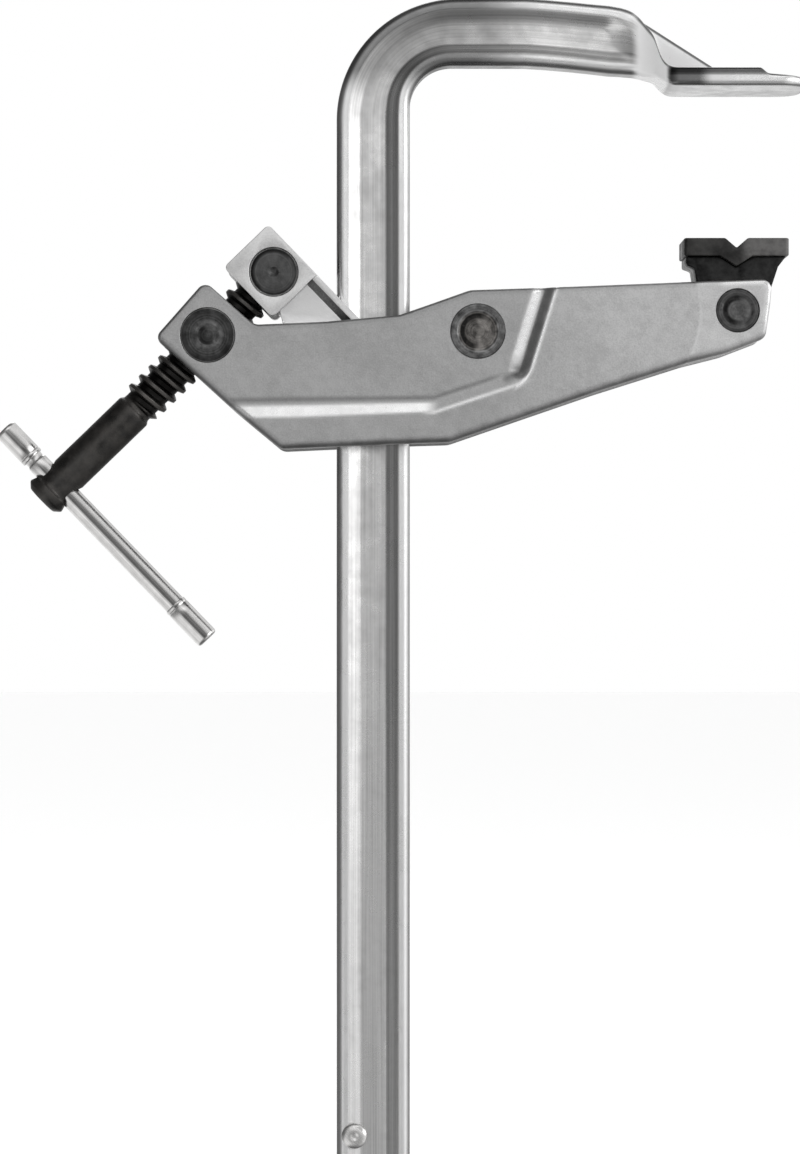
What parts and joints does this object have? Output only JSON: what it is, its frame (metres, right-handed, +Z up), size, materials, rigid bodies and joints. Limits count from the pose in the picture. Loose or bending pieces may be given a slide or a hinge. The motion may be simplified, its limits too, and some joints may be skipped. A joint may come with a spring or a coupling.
{
  "type": "bar clamp",
  "caption": "Bar clamp: profiled rail bent into a fixed jaw, sliding arm with a lever that a screw spreads like scissors, swivelling grooved pad and sliding tommy bar.",
  "frame": {"origin": "centre of the fixed jaw's clamping face", "axes": "+Z up the rail from its free end to the bend, +X along the jaws to their tips, +Y across the clamp, away from the viewer of the picture"},
  "size_m": [0.2983, 0.036, 0.4326],
  "materials": {
    "rail_steel": "bright zinc over rolled steel",
    "forged_arm": "bright zinc over a forging, satin",
    "forged_lever": "zinc over a forging, satin",
    "pin_steel": "turned and darkened",
    "inner_steel": "ground",
    "bronze": "satin",
    "black_steel": "black oxide, oiled",
    "bright_plate": "bright plating"
  },
  "bodies": {
    "rail": {"rail": "rail_steel", "stop_pin": "rail_steel"},
    "slide_arm": {"slide_arm": "forged_arm", "pivot_bush": "bronze"},
    "lever": {"lever_front_half": "forged_lever", "lever_back_half": "forged_lever", "pivot_rivet": "pin_steel", "pad_pin": "pin_steel", "pivot_washer_front": "inner_steel", "pivot_washer_back": "inner_steel"},
    "nut_trunnion": {"nut_trunnion": "pin_steel"},
    "thrust_trunnion": {"thrust_trunnion": "pin_steel"},
    "spindle": {"spindle": "black_steel", "thrust_washer": "inner_steel", "retaining_ring": "inner_steel"},
    "tommy_bar": {"tommy_bar": "bright_plate", "tommy_cap_upper": "bright_plate", "tommy_cap_lower": "bright_plate"},
    "pad": {"pad_plate": "black_steel", "pad_carrier": "black_steel"}
  },
  "joints": [
    {"name": "arm_slide", "type": "slide", "parent": "rail", "child": "slide_arm", "axis": [0, 0, 1], "range_m": [-0.253, 0.035]},
    {"name": "lever_pivot", "type": "hinge", "parent": "slide_arm", "child": "lever", "pos_m": [-0.0949, 0, -0.0898], "axis": [0, -1, 0], "range_deg": [-1.5, 9]},
    {"name": "thrust_trunnion_turn", "type": "hinge", "parent": "slide_arm", "child": "thrust_trunnion", "pos_m": [-0.1697, 0, -0.0679], "axis": [0, -1, 0], "range_deg": [-2.7, 16.2]},
    {"name": "spindle_spin", "type": "hinge", "parent": "thrust_trunnion", "child": "spindle", "pos_m": [-0.1697, 0, -0.0679], "axis": [0.7189, 0, 0.6951], "range_deg": [-136, 818]},
    {"name": "tommy_bar_slide", "type": "slide", "parent": "spindle", "child": "tommy_bar", "axis": [0.6951, 0, -0.7189], "range_m": [-0.0536, 0.0052]},
    {"name": "nut_trunnion_turn", "type": "hinge", "parent": "lever", "child": "nut_trunnion", "pos_m": [-0.1938, 0, -0.0912], "axis": [0, -1, 0], "range_deg": [-1.2, 7.2]},
    {"name": "pad_swivel", "type": "hinge", "parent": "lever", "child": "pad", "pos_m": [0, 0, -0.0823], "axis": [0, -1, 0], "range_deg": [-10, 10]}
  ],
  "couplings": [
    {"joint": "lever_pivot", "follows": "spindle_spin", "ratio": 0.011},
    {"joint": "thrust_trunnion_turn", "follows": "spindle_spin", "ratio": 0.01974},
    {"joint": "nut_trunnion_turn", "follows": "spindle_spin", "ratio": 0.00874}
  ]
}
